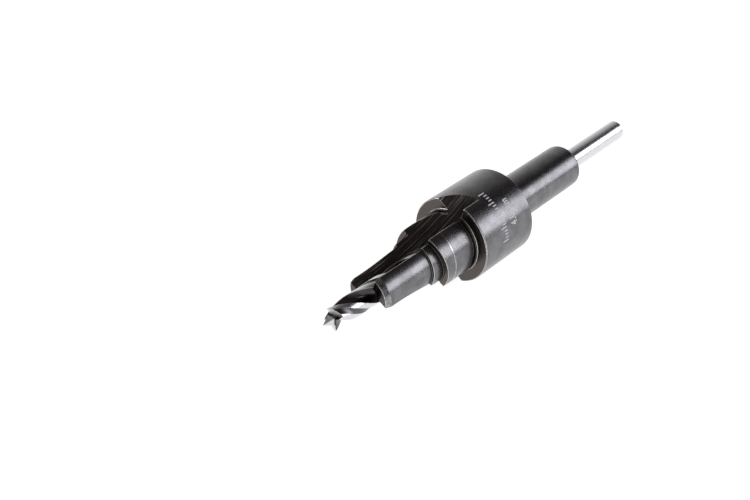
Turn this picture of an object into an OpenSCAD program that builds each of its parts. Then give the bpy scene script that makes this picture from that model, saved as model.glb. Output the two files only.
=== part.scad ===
// Countersink and stop collar in one body, clamped on a brad-point wood drill.
// The tool lies on its side: its length along X, the point toward -X, Z up.
// Stations are distances along the tool from the collar's front face, + to the rear.

/* [Drill] */
// diameter of the drill
drill_d = 4; // [3.4:0.1:4.6]
// length over all, from the brad point to the end of the shank
drill_len = 84.75; // [80:0.25:92]
// how far the brad point stands ahead of the collar
drill_reach = 31.2; // [30:0.1:34]
// length of the brad point ahead of the lips
spike_len = 2.2; // [1.9:0.05:2.5]
// width of the four-sided brad point at its root
spike_w = 1.7; // [1.5:0.05:1.9]
// height of the two spurs ahead of the lips
spur_h = 0.35; // [0.2:0.05:0.6]
// fall of the lips' end faces behind their cutting edges, degrees
lip_relief = 12; // [8:1:16]
// length of one turn of the drill's flutes
helix_lead = 22.6; // [18:0.2:26]
// thickness of the web between the two flutes
web_t = 1.2; // [1:0.05:1.35]
// width of each land, in degrees round the drill
land_a = 61; // [54:1:66]
// plain shank between the run-out of the flutes and the set screw
shank_free = 3.1; // [3:0.1:4]
// turn at which the drill is clamped, degrees
drill_turn = -44.5; // [-90:0.5:90]

/* [Nose] */
// diameter of the nose tube
nose_d = 8.4; // [8:0.1:8.8]
// how far the nose reaches ahead of the collar
nose_reach = 21; // [20:0.1:22]
// length of the long chamfer on the nose
nose_cham = 1.1; // [0.6:0.1:1.6]
// diameter of the boss between nose and step
boss_d = 9.3; // [9.1:0.05:9.6]
// station of the boss's front face, ahead of the collar
boss_reach = 9.85; // [9.4:0.05:10.4]

/* [Countersink step] */
// diameter of the countersink step
step_d = 11.75; // [11.2:0.05:12.4]
// station of the cutting edge of the step, ahead of the collar
step_reach = 8.45; // [8.2:0.05:8.7]
// length of the ground band behind the step's front rim
band_w = 2.8; // [2:0.1:3.4]
// fall of the step's face behind its cutting edge, degrees
relief_a = 7.6; // [5:0.2:9]
// width of the neck groove ahead of the collar
neck_w = 0.75; // [0.5:0.05:1]
// depth of the neck groove
neck_depth = 0.5; // [0.3:0.05:0.7]
// thickness of the thin ring between neck and collar
ring_t = 0.35; // [0.25:0.05:0.6]

/* [Chip flutes] */
// distance of the rake faces from the plane through the axis
rake_off = 0.55; // [0.3:0.05:0.8]
// depth of the slots below the axis, at the rake face
slot_depth = 1.55; // [1.3:0.05:1.75]
// diameter of the milling cutter at the rake face
cutter_d = 65.6; // [60:0.4:72]
// slope of the slots' floors, degrees
floor_a = 14.7; // [12:0.1:17]
// station at which the cutter stops, ahead of the collar
cutter_stop = 19.1; // [18.6:0.1:19.8]

/* [Stop collar and rear tube] */
// diameter of the stop collar
collar_d = 16; // [15:0.25:18]
// width of the stop collar
collar_w = 13.15; // [12.5:0.05:15]
// chamfer on the collar's edges
collar_cham = 0.15; // [0.1:0.05:0.3]
// diameter of the rear tube
tube_d = 8.4; // [8:0.1:9.2]
// length of the rear tube behind the collar
tube_len = 21.15; // [18:0.05:24]
// rounding of the tube's rear edge
tube_round = 0.7; // [0.3:0.1:1]

/* [Set screw] */
// thread diameter of the set screw
screw_d = 5; // [4:0.5:5]
// length of the set screw
screw_len = 5; // [4:0.25:5]
// width across the flats of its socket
socket_w = 2.5; // [2:0.1:2.5]
// station of the set screw behind the collar's front face
screw_at = 8.5; // [8:0.1:9]
// chamfer at the mouth of its hole, measured beside the axis plane
mouth_cham = 0.1; // [0.05:0.05:0.25]

/* [Fits] */
// clearance between drill and bore, on the radius
bore_fit = 0.03; // [0.02:0.005:0.06]
// clearance between set screw and its hole, on the radius
screw_fit = 0.02; // [0.01:0.005:0.04]
// gap between the set screw's flat point and the shank
point_fit = 0.05; // [0.02:0.01:0.1]

/* [View] */
// which piece to draw

/* [Hidden] */
$fn = 96;

// roll at which the tool lies, degrees
lie_roll = 14.5;
// station of the middle of the tool's length
mid_x = drill_len / 2 - drill_reach;

drill_r = drill_d / 2;
bore_r = drill_r + bore_fit;
nose_r = nose_d / 2;
boss_r = boss_d / 2;
step_r = step_d / 2;
collar_r = collar_d / 2;
tube_r = tube_d / 2;
cutter_r = cutter_d / 2;
screw_r = screw_d / 2 - screw_fit;

// widths round the flutes, ample enough to leave the body
slot_w = collar_r + 1;
floor_k = tan(floor_a);

// middle of a lobe, degrees from the rake face, and the set-back of its face there
lobe_mid = 58.5;
face_back = step_r * sin(52) * tan(relief_a);

// fluted length of the drill, its lips, its run-out, and the brad point's root
lip_x = spike_len - drill_reach;
spur_x = lip_x - spur_h;
runout_w = 3;
spike_root = 0.9;
flute_end = screw_at - screw_d / 2 - shank_free;
helix_turn = 360 / helix_lead;
// ground margin, then a shallow hollow up to the heel, degrees and depths
margin_a = 30;
heel_a = land_a - 8;
hollow_h = 0.07 * drill_r;
heel_h = 0.02 * drill_r;
// the lands are ground a touch under the shank's size
land_r = drill_r - 0.004;

body_black = [0.13, 0.13, 0.13];
tool_steel = [0.72, 0.72, 0.71];
screw_black = [0.1, 0.1, 0.1];

// lays a tool that is drawn round the X axis on its collar
module laid() {
    translate([-mid_x, 0, collar_r])
        rotate([lie_roll, 0, 0])
            children();
}

// revolves an outline of [radius, station] round the X axis
module turned() {
    rotate([0, 90, 0])
        rotate_extrude()
            children();
}

module body_outline() {
    difference() {
        union() {
            polygon([
                [bore_r, -nose_reach],
                [nose_r - 0.3, -nose_reach],
                [nose_r, nose_cham - nose_reach],
                [nose_r, -boss_reach],
                [boss_r, -boss_reach],
                [boss_r, -step_reach],
                [step_r - 0.09, -step_reach],
                [step_r, band_w - step_reach],
                [step_r, -ring_t - neck_w],
                [step_r - neck_depth, -ring_t - neck_w],
                [step_r - neck_depth, -ring_t],
                [step_r + 0.13, -ring_t],
                [step_r + 0.13, 0],
                [collar_r - collar_cham, 0],
                [collar_r, collar_cham],
                [collar_r, collar_w - collar_cham],
                [collar_r - collar_cham, collar_w],
                [tube_r, collar_w],
                [tube_r, collar_w + tube_len - tube_round],
                [tube_r - tube_round, collar_w + tube_len],
                [bore_r, collar_w + tube_len]
            ]);
            translate([tube_r - tube_round, collar_w + tube_len - tube_round])
                circle(r = tube_round);
        }
        // small chamfers at both mouths of the bore
        translate([bore_r, -nose_reach])
            rotate(45)
                square(0.25, center = true);
        translate([bore_r, collar_w + tube_len])
            rotate(45)
                square(0.5, center = true);
    }
}

// one chip slot: the sweep of a single-angle cutter that comes in from the
// front and stops at its station, which leaves the curved run-out
module chip_slot() {
    translate([-cutter_stop, -rake_off, cutter_r - slot_depth])
        rotate([-90, 0, 0])
            cylinder(h = slot_w, r1 = cutter_r, r2 = cutter_r - slot_w * floor_k, $fn = 180);
    translate([-nose_reach - 1, 0, 0])
        rotate([90, 0, 90])
            linear_extrude(nose_reach + 1 - cutter_stop)
                polygon([
                    [-rake_off, -slot_depth],
                    [slot_w - rake_off, slot_w * floor_k - slot_depth],
                    [slot_w - rake_off, slot_w],
                    [-rake_off, slot_w]
                ]);
}

// face of one lobe of the step, falling back behind its cutting edge, cut
// as wide as ring_w and set back a little further by sink
module lobe_relief(ring_w, sink) {
    intersection() {
        turned()
            translate([boss_r, -step_reach - 0.5])
                square([ring_w, 3]);
        rotate([lobe_mid, 0, 0])
            translate([face_back + sink - step_reach, 0, 0])
                rotate([0, 0, relief_a])
                    translate([-4, -collar_r, 0])
                        cube([4, collar_d, collar_r]);
    }
}

module countersink_body() {
    color(body_black)
        laid()
            difference() {
                turned()
                    body_outline();
                chip_slot();
                rotate([180, 0, 0])
                    chip_slot();
                for (a = [0, 180])
                    rotate([a, 0, 0]) {
                        lobe_relief(step_r, 0);
                        lobe_relief(0.25, 0.15);
                    }
                screw_hole();
            }
}

// threaded hole through one wall of the collar, with a lead-in chamfer that is
// widest along the collar, where its round wall stands highest
module screw_hole() {
    hole_r = screw_d / 2;
    mouth_h = sqrt(pow(collar_r, 2) - pow(hole_r, 2)) - mouth_cham;
    lead_in = collar_r + 1 - mouth_h;
    translate([screw_at, 0, 0])
        rotate([-90, 0, 0]) {
            cylinder(h = collar_r + 1, r = hole_r);
            translate([0, 0, mouth_h])
                cylinder(h = lead_in, r1 = hole_r, r2 = hole_r + lead_in);
        }
}

// point of a cubic curve with the control points a, b, c and d, t from 0 to 1
function bend(a, b, c, d, t) =
    pow(1 - t, 3) * a + 3 * t * pow(1 - t, 2) * b + 3 * t * t * (1 - t) * c + pow(t, 3) * d;
function polar(r, a) = [r * cos(a), r * sin(a)];

// one half of the drill's section: ground margin, hollowed land, heel, flute
function half_section(a0) = concat(
    [for (i = [0 : 4]) polar(land_r, a0 + margin_a * i / 4)],
    [for (i = [1 : 5]) polar(
        land_r - heel_h * i / 6 - hollow_h * sin(30 * i),
        a0 + margin_a + (heel_a - margin_a) * i / 6)],
    [for (i = [0, 1]) polar(land_r - heel_h, a0 + heel_a + (land_a - heel_a) * i)],
    [for (i = [1 : 11]) bend(
        polar(land_r - heel_h, a0 + land_a),
        polar(web_t * 0.28, a0 + land_a + 22),
        polar(web_t * 0.28, a0 + 120),
        polar(land_r, a0 + 180), i / 12)]
);

// the whole fluted length from the spurs on, right-hand helix
module fluted_rod() {
    fluted = flute_end + 0.3 - spur_x;
    translate([spur_x, 0, 0])
        rotate([0, 90, 0])
            linear_extrude(fluted, twist = -fluted * helix_turn, slices = 64, $fn = 0)
                polygon(concat(half_section(0), half_section(180)));
}

// what is ground away ahead of one lip: a plane that leans in from the spur
// to the brad point and falls back behind the cutting edge
module lip_cut() {
    lip_lean = atan(spur_h / (drill_r - spike_w / 2));
    intersection() {
        translate([spur_x, 0, land_r])
            rotate([0, -lip_lean, lip_relief])
                translate([-drill_d, -drill_d, -2 * drill_d])
                    cube([drill_d, 2 * drill_d, 4 * drill_d]);
        translate([-drill_reach - 1, -drill_d, 0])
            cube([2 * drill_d, 2 * drill_d, drill_d]);
    }
}

// four-sided brad point, its flats square to the middle of the lands; behind
// the lips its corners run out into the web
module spike() {
    translate([lip_x, 0, 0])
        for (side = [-1, 1])
            rotate([0, 90 * side, 0])
                rotate(side * land_a / 2)
                    linear_extrude(side < 0 ? spike_len : spike_root, scale = side < 0 ? 0.03 : 0.2)
                        square(spike_w, center = true);
}

module brad_point_drill() {
    color(tool_steel)
        laid()
            rotate([drill_turn, 0, 0]) {
                spike();
                difference() {
                    fluted_rod();
                    lip_cut();
                    rotate([180, 0, 0])
                        lip_cut();
                }
                // rising floor at the flutes' end, then the plain shank
                turned()
                    polygon([
                        [0, flute_end - runout_w],
                        [web_t * 0.4, flute_end - runout_w],
                        [drill_r, flute_end],
                        [drill_r, drill_len - drill_reach - 0.3],
                        [drill_r - 0.3, drill_len - drill_reach],
                        [0, drill_len - drill_reach]
                    ]);
            }
}

module set_screw() {
    socket_r = socket_w / 2 / cos(30);
    cone_h = socket_w / 4;
    color(screw_black)
        laid()
            translate([screw_at, drill_r + point_fit, 0])
                rotate([-90, 0, 0])
                    difference() {
                        rotate_extrude()
                            polygon([
                                [0, 0],
                                [screw_r - 0.6, 0],
                                [screw_r, 0.6],
                                [screw_r, screw_len - 0.35],
                                [screw_r - 0.35, screw_len],
                                [0, screw_len]
                            ]);
                        translate([0, 0, screw_len / 2])
                            cylinder(h = screw_len, r = socket_r, $fn = 6);
                        // the drilled bottom of the socket
                        translate([0, 0, screw_len / 2 - cone_h])
                            cylinder(h = cone_h, r1 = 0.05, r2 = socket_w / 2 - 0.05);
                        // chamfer round the mouth of the socket
                        translate([0, 0, screw_len - 0.2])
                            cylinder(h = 1, r1 = socket_w / 2, r2 = socket_w / 2 + 1);
                    }
}

countersink_body();
brad_point_drill();
set_screw();
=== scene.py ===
import bpy, bmesh, math
from mathutils import Matrix, Vector


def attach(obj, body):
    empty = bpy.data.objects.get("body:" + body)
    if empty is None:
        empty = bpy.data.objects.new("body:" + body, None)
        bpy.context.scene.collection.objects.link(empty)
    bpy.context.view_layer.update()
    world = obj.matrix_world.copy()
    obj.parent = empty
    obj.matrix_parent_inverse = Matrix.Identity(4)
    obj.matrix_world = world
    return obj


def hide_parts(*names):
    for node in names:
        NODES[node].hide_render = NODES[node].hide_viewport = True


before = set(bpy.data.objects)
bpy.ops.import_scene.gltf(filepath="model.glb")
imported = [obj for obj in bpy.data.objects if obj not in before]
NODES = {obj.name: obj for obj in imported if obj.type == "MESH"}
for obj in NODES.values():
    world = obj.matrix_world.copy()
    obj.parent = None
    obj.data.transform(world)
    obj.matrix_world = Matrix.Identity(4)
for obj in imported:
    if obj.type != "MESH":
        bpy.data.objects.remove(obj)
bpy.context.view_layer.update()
scene = bpy.context.scene

# the tool's axis lies along X at this height; stations count from the collar's
# front face in mm, and the tool lies rolled about its axis
AXIS_Z = 0.008
MID = 11.175
ROLL = math.radians(14.5)
TAU = 2 * math.pi


def place(s, y, z, roll=ROLL):
    """a point at station s and off the axis by y, z in mm, before the roll, in the frame's metres"""
    c, d = math.cos(roll), math.sin(roll)
    return Vector(((s - MID) / 1000, (y * c - z * d) / 1000, (y * d + z * c) / 1000 + AXIS_Z))


# ---------------------------------------------------------------- node helpers
class Graph:
    def __init__(self, name):
        self.mat = bpy.data.materials.new(name)
        self.mat.use_nodes = True
        self.nt = self.mat.node_tree
        self.nt.nodes.clear()
        self.out = self.nt.nodes.new("ShaderNodeOutputMaterial")
        self.bsdf = self.nt.nodes.new("ShaderNodeBsdfPrincipled")
        self.nt.links.new(self.bsdf.outputs[0], self.out.inputs["Surface"])
        self.coord = self.node("ShaderNodeTexCoord").outputs["Object"]
        self.cache = {}

    def node(self, kind, **props):
        n = self.nt.nodes.new(kind)
        for k, v in props.items():
            setattr(n, k, v)
        return n

    def put(self, value, socket):
        if isinstance(value, bpy.types.NodeSocket):
            self.nt.links.new(value, socket)
        else:
            socket.default_value = value

    def math(self, op, a, b=None, c=None):
        n = self.node("ShaderNodeMath", operation=op)
        for i, v in enumerate((a, b, c)):
            if v is not None:
                self.put(v, n.inputs[i])
        return n.outputs[0]

    def ramp(self, value, a, b, to_a=0.0, to_b=1.0):
        n = self.node("ShaderNodeMapRange", interpolation_type="SMOOTHSTEP")
        for i, v in enumerate((value, a, b, to_a, to_b)):
            self.put(v, n.inputs[i])
        return n.outputs[0]

    def mix(self, fac, a, b):
        n = self.node("ShaderNodeMix", data_type="RGBA")
        self.put(fac, n.inputs[0])
        self.put(a, n.inputs[6])
        self.put(b, n.inputs[7])
        return n.outputs[2]

    def mixf(self, fac, a, b):
        n = self.node("ShaderNodeMix", data_type="FLOAT")
        self.put(fac, n.inputs[0])
        self.put(a, n.inputs[2])
        self.put(b, n.inputs[3])
        return n.outputs[0]

    def combine(self, x, y, z):
        n = self.node("ShaderNodeCombineXYZ")
        for i, v in enumerate((x, y, z)):
            self.put(v, n.inputs[i])
        return n.outputs[0]

    def noise(self, scale, detail=3.0, rough=0.55, vector=None):
        n = self.node("ShaderNodeTexNoise")
        self.put(vector or self.coord, n.inputs["Vector"])
        n.inputs["Scale"].default_value = scale
        n.inputs["Detail"].default_value = detail
        n.inputs["Roughness"].default_value = rough
        return n.outputs["Fac"]

    def tool(self):
        """station, sideways and upward place off the axis before the roll, and radius, all in mm"""
        if not self.cache:
            sep = self.node("ShaderNodeSeparateXYZ")
            self.put(self.coord, sep.inputs[0])
            x, y, z = sep.outputs
            s = self.math("MULTIPLY_ADD", x, 1000.0, MID)
            y = self.math("MULTIPLY", y, 1000.0)
            z = self.math("MULTIPLY_ADD", z, 1000.0, -AXIS_Z * 1000)
            c, d = math.cos(ROLL), math.sin(ROLL)
            v = self.math("ADD", self.math("MULTIPLY", y, c), self.math("MULTIPLY", z, d))
            u = self.math("SUBTRACT", self.math("MULTIPLY", z, c), self.math("MULTIPLY", y, d))
            r = self.math("SQRT", self.math("ADD", self.math("MULTIPLY", y, y), self.math("MULTIPLY", z, z)))
            self.cache.update(s=s, v=v, u=u, r=r)
        return self.cache

    def normal_parts(self):
        geo = self.node("ShaderNodeNewGeometry")
        sep = self.node("ShaderNodeSeparateXYZ")
        self.put(geo.outputs["True Normal"], sep.inputs[0])
        return sep.outputs

    def rounded(self, radius=0.00020, samples=8):
        """the normal of edges rounded by a small radius"""
        if not hasattr(self, "bevel"):
            bev = self.node("ShaderNodeBevel", samples=samples)
            bev.inputs["Radius"].default_value = radius
            self.bevel = bev.outputs[0]
        return self.bevel

    def edge(self):
        """how far the rounded normal turns away from the true one: 0 on a face, more on an edge"""
        geo = self.node("ShaderNodeNewGeometry")
        dot = self.node("ShaderNodeVectorMath", operation="DOT_PRODUCT")
        self.put(self.rounded(), dot.inputs[0])
        self.put(geo.outputs["Normal"], dot.inputs[1])
        return self.math("SUBTRACT", 1.0, dot.outputs["Value"])

    def bump(self, height, strength, distance, normal=None):
        n = self.node("ShaderNodeBump")
        n.inputs["Strength"].default_value = strength
        n.inputs["Distance"].default_value = distance
        self.put(height, n.inputs["Height"])
        if normal is not None:
            self.put(normal, n.inputs["Normal"])
        return n.outputs[0]


# sizes of the drill in mm and degrees, as in the CAD; the lands measure wider in the photo
DR, REACH, LEN = 2.0, 31.2, 84.75
LIP, SPUR = -29.0, -29.35
LAND_R, MARGIN_A, LAND_A, WEB = 1.996, 27.0, 91.0, 1.2
HEEL_A, HOLLOW_H, HEEL_H, TURN = 60.0, 0.12, 0.03, 360 / 22.6
END, RUN = 2.9, 3.0
DRILL_TURN = math.radians(-44.5)

# the chip slots as in the CAD: the rake wall's offset, the floor's depth, the cutter's radius and cone, and where it stops
RAKE, DEPTH, CUT_R, STOP, K = 0.55, 1.55, 32.8, -19.1, math.tan(math.radians(14.7))

# the set screw's hole: its station, radius and thread pitch
SCREW_AT, SCREW_R, PITCH = 8.5, 2.5, 0.8

OXIDE_DARK = (0.155, 0.152, 0.154, 1)
OXIDE_PALE = (0.215, 0.211, 0.214, 1)
# bare steel colour for rubbed wear, also used to paint highlight lines on a crease and on the collar's chamfers
WEAR_AND_HIGHLIGHT = (0.70, 0.69, 0.67, 1)


def band(g, value, a, b, soft=0.03):
    """1 between a and b"""
    return g.math("MULTIPLY", g.ramp(value, a - soft, a + soft), g.ramp(value, b + soft, b - soft))


def wear_and_highlight_mask(g, t):
    """rubbed edges: outer corners only, so the neck and the boss's root are left out, plus a painted highlight on a
    turned line where the step's band meets its cylinder, the collar's small chamfers, rubbed and partly a painted
    highlight, and, mottled, the nose's long one"""
    broken = g.noise(2600, 3.0, 0.75)
    raw = g.math("MULTIPLY_ADD", g.math("SUBTRACT", broken, 0.5), 0.16, g.edge())
    bright_metal = g.ramp(raw, 0.035, 0.11)
    neck = g.math("MULTIPLY", g.ramp(t["s"], -1.40, -1.25), g.ramp(t["s"], -0.02, -0.14))
    root = g.math("MULTIPLY", g.ramp(t["s"], -8.95, -8.75), g.math("MULTIPLY", g.ramp(t["r"], 5.15, 5.05), g.ramp(t["s"], -6.0, -6.2)))
    nose = g.math("MULTIPLY", g.ramp(t["r"], 4.36, 4.30), g.math("MULTIPLY", g.ramp(t["s"], -10.4, -10.2), g.ramp(t["s"], -9.3, -9.5)))
    rear = g.math("MULTIPLY", g.ramp(t["r"], 4.75, 4.55), g.math("MULTIPLY", g.ramp(t["s"], 12.6, 12.8), g.ramp(t["s"], 13.9, 13.6)))
    hide = g.math("MAXIMUM", g.math("MAXIMUM", neck, root), g.math("MAXIMUM", nose, rear))
    bright_metal = g.math("MULTIPLY", bright_metal, g.math("SUBTRACT", 1.0, hide))
    # painted highlight: a bright line that stands in for the light caught by the slight crease between the step's band
    # and its cylinder
    off = g.math("ABSOLUTE", g.math("ADD", t["s"], 5.65))
    line = g.math("MULTIPLY", g.ramp(off, 0.12, 0.04), g.ramp(g.noise(1500, 3.0, 0.7), 0.38, 0.55, 0.25, 0.8))
    line = g.math("MULTIPLY", line, g.ramp(t["r"], 5.80, 5.84))
    # the collar's small chamfers: partly rubbed wear, partly a painted highlight line along the edges
    rims = g.math("MAXIMUM", band(g, t["s"], 0.0, 0.15), band(g, t["s"], 13.0, 13.15))
    rims = g.math("MULTIPLY", g.math("MULTIPLY", rims, g.ramp(t["r"], 7.80, 7.85)), g.ramp(broken, 0.30, 0.55, 0.15, 0.5))
    snout = g.math("MULTIPLY", band(g, t["s"], -21.1, -19.9), g.ramp(t["r"], 3.80, 3.88))
    snout = g.math("MULTIPLY", snout, g.ramp(broken, 0.34, 0.60, 0.04, 0.34))
    return g.math("MAXIMUM", g.math("MAXIMUM", bright_metal, line), g.math("MAXIMUM", rims, snout))


def screw_thread(g):
    """the height of the fine thread in the wall of the set screw's hole, which runs along Y"""
    sep = g.node("ShaderNodeSeparateXYZ")
    g.put(g.coord, sep.inputs[0])
    x = g.math("MULTIPLY_ADD", sep.outputs[0], 1000.0, MID - SCREW_AT)
    y = g.math("MULTIPLY", sep.outputs[1], 1000.0)
    z = g.math("MULTIPLY_ADD", sep.outputs[2], 1000.0, -AXIS_Z * 1000)
    r = g.math("SQRT", g.math("ADD", g.math("MULTIPLY", x, x), g.math("MULTIPLY", z, z)))
    on_wall = g.math("MULTIPLY", band(g, r, SCREW_R - 0.06, SCREW_R + 0.04, 0.02), g.ramp(y, 1.9, 2.1))
    turns = g.math("MULTIPLY_ADD", g.math("ARCTAN2", z, x), 1 / TAU, g.math("MULTIPLY", y, 1 / PITCH))
    ridge = g.math("PINGPONG", turns, 0.5)
    return g.math("MULTIPLY", ridge, on_wall)


def black_oxide(name, grain_size=5200.0):
    g = Graph(name)
    b = g.bsdf
    t = g.tool()
    grain = g.noise(grain_size, 2.0, 0.6)
    cloud = g.noise(420, 4.0, 0.6)
    base = g.mix(g.ramp(cloud, 0.32, 0.72), OXIDE_DARK, OXIDE_PALE)
    # faces turned square to the tool are browner
    facing = g.ramp(g.math("ABSOLUTE", g.normal_parts()[0]), 0.80, 0.97)
    base = g.mix(facing, base, (0.100, 0.089, 0.079, 1))
    # bright steel colour from rubbed wear and from painted highlight lines
    bright_metal = wear_and_highlight_mask(g, t)
    base = g.mix(bright_metal, base, WEAR_AND_HIGHLIGHT)
    g.put(base, b.inputs["Base Color"])
    b.inputs["Metallic"].default_value = 1.0
    rough = g.ramp(grain, 0.3, 0.7, 0.22, 0.33)
    g.put(g.mixf(bright_metal, rough, 0.22), b.inputs["Roughness"])
    # turning marks run round the tool, so they change only with the station and a little with the radius
    lathe = g.noise(1.0, 2.0, 0.6, vector=g.combine(g.math("MULTIPLY", t["s"], 9.0), g.math("MULTIPLY", t["r"], 7.0), 0.0))
    height = g.math("MULTIPLY_ADD", lathe, 0.35, grain)
    fine = g.bump(height, 0.32, 0.00002, g.rounded())
    g.put(g.bump(screw_thread(g), 1.0, 0.00035, fine), b.inputs["Normal"])
    return g.mat


def milled_oxide():
    """the floors and walls of the chip slots: browner, with fine lengthwise cutter marks"""
    g = Graph("black_oxide_milled")
    b = g.bsdf
    t = g.tool()
    # the marks follow the cutter's path: the same offset and the same distance from its axis all along
    turn = g.math("MULTIPLY_ADD", g.math("GREATER_THAN", g.math("ADD", t["u"], t["v"]), 0.0), 2.0, -1.0)
    across = g.math("MULTIPLY", t["v"], turn)
    past = g.math("MAXIMUM", g.math("SUBTRACT", t["s"], STOP), 0.0)
    down = g.math("SUBTRACT", CUT_R - DEPTH, g.math("MULTIPLY", t["u"], turn))
    away = g.math("SQRT", g.math("ADD", g.math("MULTIPLY", past, past), g.math("MULTIPLY", down, down)))
    along = g.combine(g.math("MULTIPLY", t["s"], 0.06), g.math("MULTIPLY", across, 4.4), g.math("MULTIPLY", away, 4.4))
    marks = g.noise(1.0, 2.0, 0.7, vector=along)
    cloud = g.noise(500, 3.0, 0.6)
    base = g.mix(cloud, (0.046, 0.036, 0.034, 1), (0.080, 0.068, 0.066, 1))
    # the ridges between the marks are lighter
    streak = g.ramp(marks, 0.55, 0.65)
    base = g.mix(streak, base, (0.40, 0.375, 0.365, 1))
    # bright steel colour from rubbed wear and from painted highlight lines
    bright_metal = wear_and_highlight_mask(g, t)
    g.put(g.mix(bright_metal, base, WEAR_AND_HIGHLIGHT), b.inputs["Base Color"])
    # the streaks are matt, so they catch light that the dark floor doesn't
    g.put(g.math("MAXIMUM", bright_metal, g.math("MULTIPLY_ADD", streak, -0.75, 1.0)), b.inputs["Metallic"])
    g.put(g.mixf(bright_metal, g.ramp(marks, 0.3, 0.7, 0.42, 0.30), 0.22), b.inputs["Roughness"])
    g.put(g.bump(marks, 0.8, 0.00012, g.rounded()), b.inputs["Normal"])
    return g.mat


def bright_steel():
    g = Graph("ground_tool_steel")
    b = g.bsdf
    t = g.tool()
    round_marks = g.noise(1.0, 3.0, 0.65, vector=g.combine(g.math("MULTIPLY", t["s"], 11.0), t["v"], t["u"]))
    smear = g.noise(900, 3.0, 0.6)
    # lands, shank and point are ground bright; the flutes and the hollow in the lands keep their black oxide
    a = g.math("ARCTAN2", t["v"], g.math("MULTIPLY", t["u"], -1.0))
    twist = math.radians(TURN)
    a = g.math("SUBTRACT", a, g.math("MULTIPLY_ADD", t["s"], twist, DRILL_TURN - twist * SPUR))
    a = g.math("FLOORED_MODULO", a, math.pi)
    soft = math.radians(1.2)
    hollow = band(g, a, math.radians(MARGIN_A) + soft, math.radians(HEEL_A) - soft, soft)
    land = g.math("MULTIPLY", g.ramp(a, math.radians(LAND_A) + soft, math.radians(LAND_A) - soft), g.ramp(t["r"], 1.76, 1.84))
    land = g.math("MULTIPLY", land, g.math("SUBTRACT", 1.0, hollow))
    land = g.math("MAXIMUM", land, g.ramp(t["r"], 1.985, 1.992))
    ends = g.math("MULTIPLY", g.ramp(g.math("ABSOLUTE", g.normal_parts()[0]), 0.55, 0.65), g.ramp(t["s"], -28.0, -28.2))
    land = g.math("MAXIMUM", g.math("MAXIMUM", land, ends), g.ramp(t["s"], -29.3, -29.5))
    land = g.math("MAXIMUM", land, g.ramp(t["s"], 2.4, 2.9))
    flute = g.mix(smear, (0.050, 0.042, 0.044, 1), (0.105, 0.092, 0.094, 1))
    flute = g.mix(g.math("MULTIPLY", hollow, 0.16), flute, (0.40, 0.39, 0.40, 1))
    ground = g.mix(round_marks, (0.66, 0.66, 0.665, 1), (0.74, 0.74, 0.74, 1))
    g.put(g.mix(land, flute, ground), b.inputs["Base Color"])
    b.inputs["Metallic"].default_value = 1.0
    rough = g.ramp(round_marks, 0.25, 0.75, 0.13, 0.22)
    rough = g.math("ADD", rough, g.ramp(t["s"], 20.0, 45.0, 0.0, 0.09))
    # the twisted part is ground less finely, and the lips and the brad point are plain ground
    rough = g.math("ADD", rough, g.ramp(t["s"], 1.0, 0.0, 0.0, 0.10))
    g.put(g.math("ADD", rough, g.math("MULTIPLY", g.math("MAXIMUM", ends, g.ramp(t["s"], -29.0, -29.2)), 0.20)), b.inputs["Roughness"])
    g.put(g.bump(round_marks, 0.15, 0.00001), b.inputs["Normal"])
    return g.mat


def etched_grey():
    g = Graph("laser_etched_grey")
    b = g.bsdf
    speck = g.noise(7000, 2.0, 0.6)
    g.put(g.mix(g.ramp(speck, 0.35, 0.65), (0.80, 0.80, 0.81, 1), (0.96, 0.96, 0.96, 1)), b.inputs["Base Color"])
    b.inputs["Metallic"].default_value = 0.0
    b.inputs["Roughness"].default_value = 0.55
    g.put(g.bump(speck, 0.3, 0.00001), b.inputs["Normal"])
    return g.mat


def dress(obj, *mats):
    obj.data.materials.clear()
    for m in mats:
        obj.data.materials.append(m)


def smooth(obj, angle=28):
    obj.data.polygons.foreach_set("use_smooth", [True] * len(obj.data.polygons))
    obj.data.set_sharp_from_angle(angle=math.radians(angle))


def add_mesh(name, verts, faces):
    me = bpy.data.meshes.new(name)
    me.from_pydata([tuple(v) for v in verts], [], faces)
    me.update()
    obj = bpy.data.objects.new(name, me)
    scene.collection.objects.link(obj)
    return obj


def apply_all(obj):
    """turns the modifiers into plain mesh"""
    bpy.context.view_layer.update()
    me = bpy.data.meshes.new_from_object(obj.evaluated_get(bpy.context.evaluated_depsgraph_get()))
    obj.modifiers.clear()
    obj.data = me


oxide = black_oxide("black_oxide_steel")
milled = milled_oxide()
steel = bright_steel()
etch = etched_grey()

# ---------------------------------------------------------------- body: the slots' faces get the milled finish
body = NODES["countersink_body"]
smooth(body)
dress(body, oxide, milled)

def slot_face(s, y, z):
    """is this point on a face of the slot that opens upward"""
    if y < -RAKE - 0.02:
        return False
    if abs(y + RAKE) < 0.02 and z > -DEPTH - 0.02 and s < 8:
        return True
    w = y + RAKE
    r = CUT_R - K * w
    if s <= STOP:
        return abs(z - (-DEPTH + K * w)) < 0.03
    return abs(math.hypot(s - STOP, z - (CUT_R - DEPTH)) - r) < 0.05


def unroll(p):
    s = p.x * 1000 + MID
    y, z = p.y * 1000, (p.z - AXIS_Z) * 1000
    c, d = math.cos(ROLL), math.sin(ROLL)
    return s, y * c + z * d, z * c - y * d


for poly in body.data.polygons:
    pts = [unroll(body.data.vertices[i].co) for i in poly.vertices]
    hit = all(slot_face(*p) for p in pts) or all(slot_face(s, -y, -z) for s, y, z in pts)
    poly.material_index = 1 if hit else 0

dress(NODES["set_screw"], oxide)
smooth(NODES["set_screw"])

# ---------------------------------------------------------------- drill: the same section as the CAD, finely stepped

def polar(r, a):
    return r * math.cos(math.radians(a)), r * math.sin(math.radians(a))


def bend(a, b, c, d, t):
    return tuple((1 - t) ** 3 * a[i] + 3 * t * (1 - t) ** 2 * b[i] + 3 * t * t * (1 - t) * c[i] + t ** 3 * d[i] for i in (0, 1))


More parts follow.
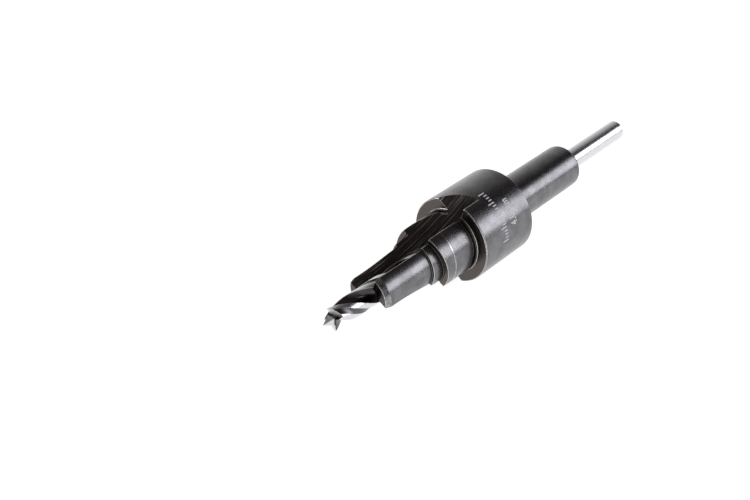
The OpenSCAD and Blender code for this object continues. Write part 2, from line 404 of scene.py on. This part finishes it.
def half(a0):
    pts = [polar(LAND_R, a0 + MARGIN_A * i / 8) for i in range(9)]
    for i in range(1, 12):
        dip = HEEL_H * i / 12 + HOLLOW_H * math.sin(math.pi * i / 12)
        pts.append(polar(LAND_R - dip, a0 + MARGIN_A + (HEEL_A - MARGIN_A) * i / 12))
    pts += [polar(LAND_R - HEEL_H, a0 + HEEL_A + (LAND_A - HEEL_A) * i / 9) for i in range(10)]
    ends = (polar(LAND_R - HEEL_H, a0 + LAND_A), polar(WEB * 0.28, a0 + LAND_A + 22), polar(WEB * 0.28, a0 + 138), polar(LAND_R, a0 + 180))
    return pts + [bend(*ends, i / 26) for i in range(1, 26)]


ring = [(math.hypot(x, y), math.atan2(y, x)) for x, y in half(0) + half(180)]
N = len(ring)


def drill_rows():
    s = SPUR
    while s < END + 0.2:
        yield s
        s += 0.15
    yield END + 0.2
    yield END + 12
    yield LEN - REACH - 0.3
    yield LEN - REACH


verts, faces = [], []
rows = list(drill_rows())
for s in rows:
    floor_r = 0.0
    if s > END - RUN:
        floor_r = min(DR, WEB * 0.4 + (DR - WEB * 0.4) * (s - END + RUN) / RUN)
    if s > LEN - REACH - 0.1:
        floor_r = DR - 0.3
    turned = math.radians(TURN) * (min(s, END + 0.2) - SPUR)
    for r, a in ring:
        rr = max(r if s < END + 0.1 else 0, floor_r)
        # local X of the section points down and its Y to +Y, as the CAD turns it
        y, z = rr * math.sin(a + turned), -rr * math.cos(a + turned)
        verts.append(place(s, y, z, ROLL + DRILL_TURN))
for i in range(len(rows) - 1):
    for j in range(N):
        k = (j + 1) % N
        faces.append((i * N + j, i * N + k, (i + 1) * N + k, (i + 1) * N + j))
faces.append(tuple(range(N))[::-1])
faces.append(tuple((len(rows) - 1) * N + j for j in range(N)))
drill = add_mesh("brad_point_drill_fine", verts, faces)
bm = bmesh.new()
bm.from_mesh(drill.data)
bmesh.ops.recalc_face_normals(bm, faces=bm.faces)
bm.to_mesh(drill.data)
bm.free()


def solid_from_planes(name, size, planes, roll):
    """a big box about the drill's tip, cut back to the side of each plane that its normal points away from"""
    bm = bmesh.new()
    bmesh.ops.create_cube(bm, size=size)
    for co, no in planes:
        geom = bm.verts[:] + bm.edges[:] + bm.faces[:]
        res = bmesh.ops.bisect_plane(bm, geom=geom, plane_co=co, plane_no=no, clear_outer=True)
        edges = [e for e in res["geom_cut"] if isinstance(e, bmesh.types.BMEdge)]
        bmesh.ops.holes_fill(bm, edges=edges)
    bmesh.ops.recalc_face_normals(bm, faces=bm.faces)
    for v in bm.verts:
        v.co = place(v.co.x - 30.0, v.co.y, v.co.z, roll)
    me = bpy.data.meshes.new(name)
    bm.to_mesh(me)
    bm.free()
    obj = bpy.data.objects.new(name, me)
    scene.collection.objects.link(obj)
    return obj


SPIKE_LEN, SPIKE_W, SPUR_H, RELIEF = 2.2, 1.7, 0.35, math.radians(12)
lean = SPUR_H / (DR - SPIKE_W / 2)
half_w = SPIKE_W / 2 / SPIKE_LEN
# the flats of the brad point stand square to this place on the lands
mid_a = math.radians(30.5)
# flats of the brad point: outward normals, with the apex at station -REACH, then
# those by which its corners run out into the web
ROOT = 0.9
spike_planes, root_planes = [], []
for q in range(4):
    a = mid_a + q * math.pi / 2
    n = Vector((-half_w, -math.sin(a), math.cos(a)))
    spike_planes.append((Vector((30.0 - REACH, 0, 0)), n.normalized()))
    n = Vector((SPIKE_W * 0.4 / ROOT, -math.sin(a), math.cos(a)))
    root_planes.append((Vector((30.0 + LIP + ROOT * 1.25, 0, 0)), n.normalized()))
root_planes.append((Vector((30.0 + LIP + ROOT, 0, 0)), Vector((1, 0, 0))))


def join(target, operation, tool_obj):
    """one boolean step, after which the other solid is gone"""
    mod = target.modifiers.new("step", "BOOLEAN")
    mod.operation = operation
    mod.solver = "MANIFOLD"
    mod.object = tool_obj
    apply_all(target)
    bpy.data.objects.remove(tool_obj)


cut_n = Vector((1, math.tan(RELIEF), lean)).normalized()
for side in (0, math.pi):
    planes = [(Vector((30.0 + SPUR, 0, LAND_R)), cut_n), (Vector((0, 0, 0)), Vector((0, 0, -1)))]
    join(drill, "DIFFERENCE", solid_from_planes("lip_cut", 12.0, planes, ROLL + DRILL_TURN + side))
join(drill, "UNION", solid_from_planes("spike", 12.0, spike_planes + root_planes, ROLL + DRILL_TURN))
smooth(drill, 24)
dress(drill, steel)
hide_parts("brad_point_drill")
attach(drill, "drill")


# ---------------------------------------------------------------- etched size and plain tick marks on the collar
def wrap(x, y, s0, phi0, lift=0.006):
    """flat drawing (x along the line, y up, mm) onto the collar: the line runs round it, tops to the front"""
    r = 8.0 + lift
    phi = math.radians(phi0) - x / 8.0
    return Vector(((s0 - y - MID) / 1000, -r * math.sin(phi) / 1000, r * math.cos(phi) / 1000 + AXIS_Z))


def fine_flat(me, step=0.25):
    """cuts a flat mesh into strips, so that it bends round the collar"""
    bm = bmesh.new()
    bm.from_mesh(me)
    xs = [v.co.x for v in bm.verts]
    x = min(xs) + step
    while x < max(xs):
        geom = bm.verts[:] + bm.edges[:] + bm.faces[:]
        bmesh.ops.bisect_plane(bm, geom=geom, plane_co=(x, 0, 0), plane_no=(1, 0, 0))
        x += step
    bmesh.ops.triangulate(bm, faces=bm.faces)
    return bm


font = bpy.data.curves.new("size", "FONT")
font.body = "4.0 mm"
font.size = 2.1
font.space_character = 1.12
font.offset = 0.07
flat = bpy.data.objects.new("size_flat", font)
scene.collection.objects.link(flat)
bpy.context.view_layer.update()
me = bpy.data.meshes.new_from_object(flat.evaluated_get(bpy.context.evaluated_depsgraph_get()))
bpy.data.objects.remove(flat)
bm = fine_flat(me)
width = max(v.co.x for v in bm.verts)
for v in bm.verts:
    v.co = wrap(v.co.x / width * 4.9, v.co.y, 8.9, 70.0)
me = bpy.data.meshes.new("etched_size")
bm.to_mesh(me)
bm.free()
size_mark = bpy.data.objects.new("etched_size", me)
scene.collection.objects.link(size_mark)
dress(size_mark, etch)
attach(size_mark, "body")

bm = bmesh.new()
for i in range(17):
    long = 1.5 if i % 4 == 0 else 0.8
    x = i * 0.6
    quad = [bm.verts.new((px, py, 0)) for px, py in ((x, 0), (x + 0.24, 0), (x + 0.24, long), (x, long))]
    bm.faces.new(quad)
for v in bm.verts:
    v.co = wrap(v.co.x, v.co.y, 6.1, 84.0)
me = bpy.data.meshes.new("etched_ticks")
bm.to_mesh(me)
bm.free()
ticks = bpy.data.objects.new("etched_ticks", me)
scene.collection.objects.link(ticks)
dress(ticks, etch)
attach(ticks, "body")

# ---------------------------------------------------------------- floor: white to the camera and in reflections, with the object's own shadow
bpy.ops.mesh.primitive_plane_add(size=6.0, location=(0, 0, 0))
floor = bpy.context.active_object
floor.name = "floor"
fm = bpy.data.materials.new("floor_white")
fm.use_nodes = True
nt = fm.node_tree
nt.nodes.clear()
out = nt.nodes.new("ShaderNodeOutputMaterial")
diff = nt.nodes.new("ShaderNodeBsdfDiffuse")
diff.inputs["Color"].default_value = (0.80, 0.80, 0.80, 1)
emi = nt.nodes.new("ShaderNodeEmission")
path = nt.nodes.new("ShaderNodeLightPath")
seen = nt.nodes.new("ShaderNodeMath")
seen.operation = "MAXIMUM"
nt.links.new(path.outputs["Is Camera Ray"], seen.inputs[0])
nt.links.new(path.outputs["Is Glossy Ray"], seen.inputs[1])
level = nt.nodes.new("ShaderNodeMath")
level.operation = "MULTIPLY"
nt.links.new(seen.outputs[0], level.inputs[0])
level.inputs[1].default_value = 0.80
nt.links.new(level.outputs[0], emi.inputs["Strength"])
tint = nt.nodes.new("ShaderNodeMix")
tint.data_type = "RGBA"
nt.links.new(path.outputs["Is Camera Ray"], tint.inputs[0])
tint.inputs[6].default_value = (0.97, 0.972, 1, 1)
tint.inputs[7].default_value = (1, 1, 1, 1)
nt.links.new(tint.outputs[2], emi.inputs["Color"])
add = nt.nodes.new("ShaderNodeAddShader")
nt.links.new(diff.outputs[0], add.inputs[0])
nt.links.new(emi.outputs[0], add.inputs[1])
nt.links.new(add.outputs[0], out.inputs["Surface"])
floor.data.materials.append(fm)

# ---------------------------------------------------------------- world: a pale wall on two sides that darkens upward, dark elsewhere, white to the camera
world = bpy.data.worlds.new("studio")
scene.world = world
world.use_nodes = True
nt = world.node_tree
nt.nodes.clear()


def wnode(kind, **props):
    n = nt.nodes.new(kind)
    for k, v in props.items():
        setattr(n, k, v)
    return n


out = wnode("ShaderNodeOutputWorld")
coord = wnode("ShaderNodeTexCoord")
sep = wnode("ShaderNodeSeparateXYZ")
nt.links.new(coord.outputs["Generated"], sep.inputs[0])
height = wnode("ShaderNodeMapRange")
nt.links.new(sep.outputs[2], height.inputs[0])
height.inputs[1].default_value = -0.1
height.inputs[2].default_value = 1.0
wall = wnode("ShaderNodeValToRGB")
nt.links.new(height.outputs[0], wall.inputs[0])
ramp = wall.color_ramp
ramp.elements[0].position = 0.0
ramp.elements[0].color = (1, 1, 1, 1)
ramp.elements[1].position = 1.0
ramp.elements[1].color = (0.020, 0.016, 0.015, 1)
for pos, v in ((0.09, 1.0), (0.30, 0.80), (0.527, 0.54), (0.70, 0.21), (0.80, 0.06), (0.86, 0.016), (0.91, 0.03)):
    e = ramp.elements.new(pos)
    e.color = (v, v * 0.985, v * 0.99, 1)
cross = wnode("ShaderNodeMath", operation="MULTIPLY")
nt.links.new(sep.outputs[0], cross.inputs[0])
nt.links.new(sep.outputs[1], cross.inputs[1])
lobes = wnode("ShaderNodeMapRange", interpolation_type="SMOOTHSTEP")
nt.links.new(cross.outputs[0], lobes.inputs[0])
lobes.inputs[1].default_value = -0.10
lobes.inputs[2].default_value = 0.22
mix = wnode("ShaderNodeMix", data_type="RGBA")
nt.links.new(lobes.outputs[0], mix.inputs[0])
mix.inputs[6].default_value = (0.016, 0.009, 0.011, 1)
nt.links.new(wall.outputs[0], mix.inputs[7])
bg_light = wnode("ShaderNodeBackground")
nt.links.new(mix.outputs[2], bg_light.inputs["Color"])
ceiling = wnode("ShaderNodeMapRange", interpolation_type="SMOOTHSTEP")
nt.links.new(sep.outputs[2], ceiling.inputs[0])
ceiling.inputs[1].default_value = 0.78
ceiling.inputs[2].default_value = 0.93
ceiling.inputs[4].default_value = 0.15
bg_above = wnode("ShaderNodeBackground")
bg_above.inputs["Color"].default_value = (1.0, 0.90, 0.84, 1)
nt.links.new(ceiling.outputs[0], bg_above.inputs["Strength"])
both = wnode("ShaderNodeAddShader")
nt.links.new(bg_light.outputs[0], both.inputs[0])
nt.links.new(bg_above.outputs[0], both.inputs[1])
bg_seen = wnode("ShaderNodeBackground")
bg_seen.inputs["Color"].default_value = (1, 1, 1, 1)
path = wnode("ShaderNodeLightPath")
mixer = wnode("ShaderNodeMixShader")
nt.links.new(path.outputs["Is Camera Ray"], mixer.inputs[0])
nt.links.new(both.outputs[0], mixer.inputs[1])
nt.links.new(bg_seen.outputs[0], mixer.inputs[2])
nt.links.new(mixer.outputs[0], out.inputs["Surface"])


def softbox(name, direction, distance, width, tall, radiance, colour=(1, 1, 1)):
    data = bpy.data.lights.new(name, "AREA")
    data.shape = "RECTANGLE"
    data.size = width
    data.size_y = tall
    data.energy = radiance * math.pi * width * tall
    data.color = colour
    obj = bpy.data.objects.new(name, data)
    scene.collection.objects.link(obj)
    d = Vector(direction).normalized()
    obj.location = d * distance
    obj.rotation_euler = (-d).to_track_quat("-Z", "Y").to_euler()
    return obj


softbox("strip_right", (0.60, -0.66, 0.335), 1.2, 1.1, 0.55, 3.6, (0.925, 0.93, 1.0))
softbox("strip_left", (-0.60, 0.66, 0.335), 1.2, 1.1, 0.55, 3.6, (0.925, 0.93, 1.0))

# ---------------------------------------------------------------- camera
cam = bpy.data.cameras.new("camera")
cam_obj = bpy.data.objects.new("camera", cam)
scene.collection.objects.link(cam_obj)
right = Vector((0.67779, -0.73525, 0.0)).normalized()
fwd = Vector((0.59668, 0.55005, -0.58431)).normalized()
m = Matrix((right, right.cross(fwd), -fwd)).transposed().to_4x4()
m.translation = Vector((-0.124305, -0.08652, 0.10803))
cam_obj.matrix_world = m
cam.sensor_width = 36.0
cam.lens = 48.0
cam.clip_start = 0.005
scene.camera = cam_obj
scene.view_settings.view_transform = "Standard"
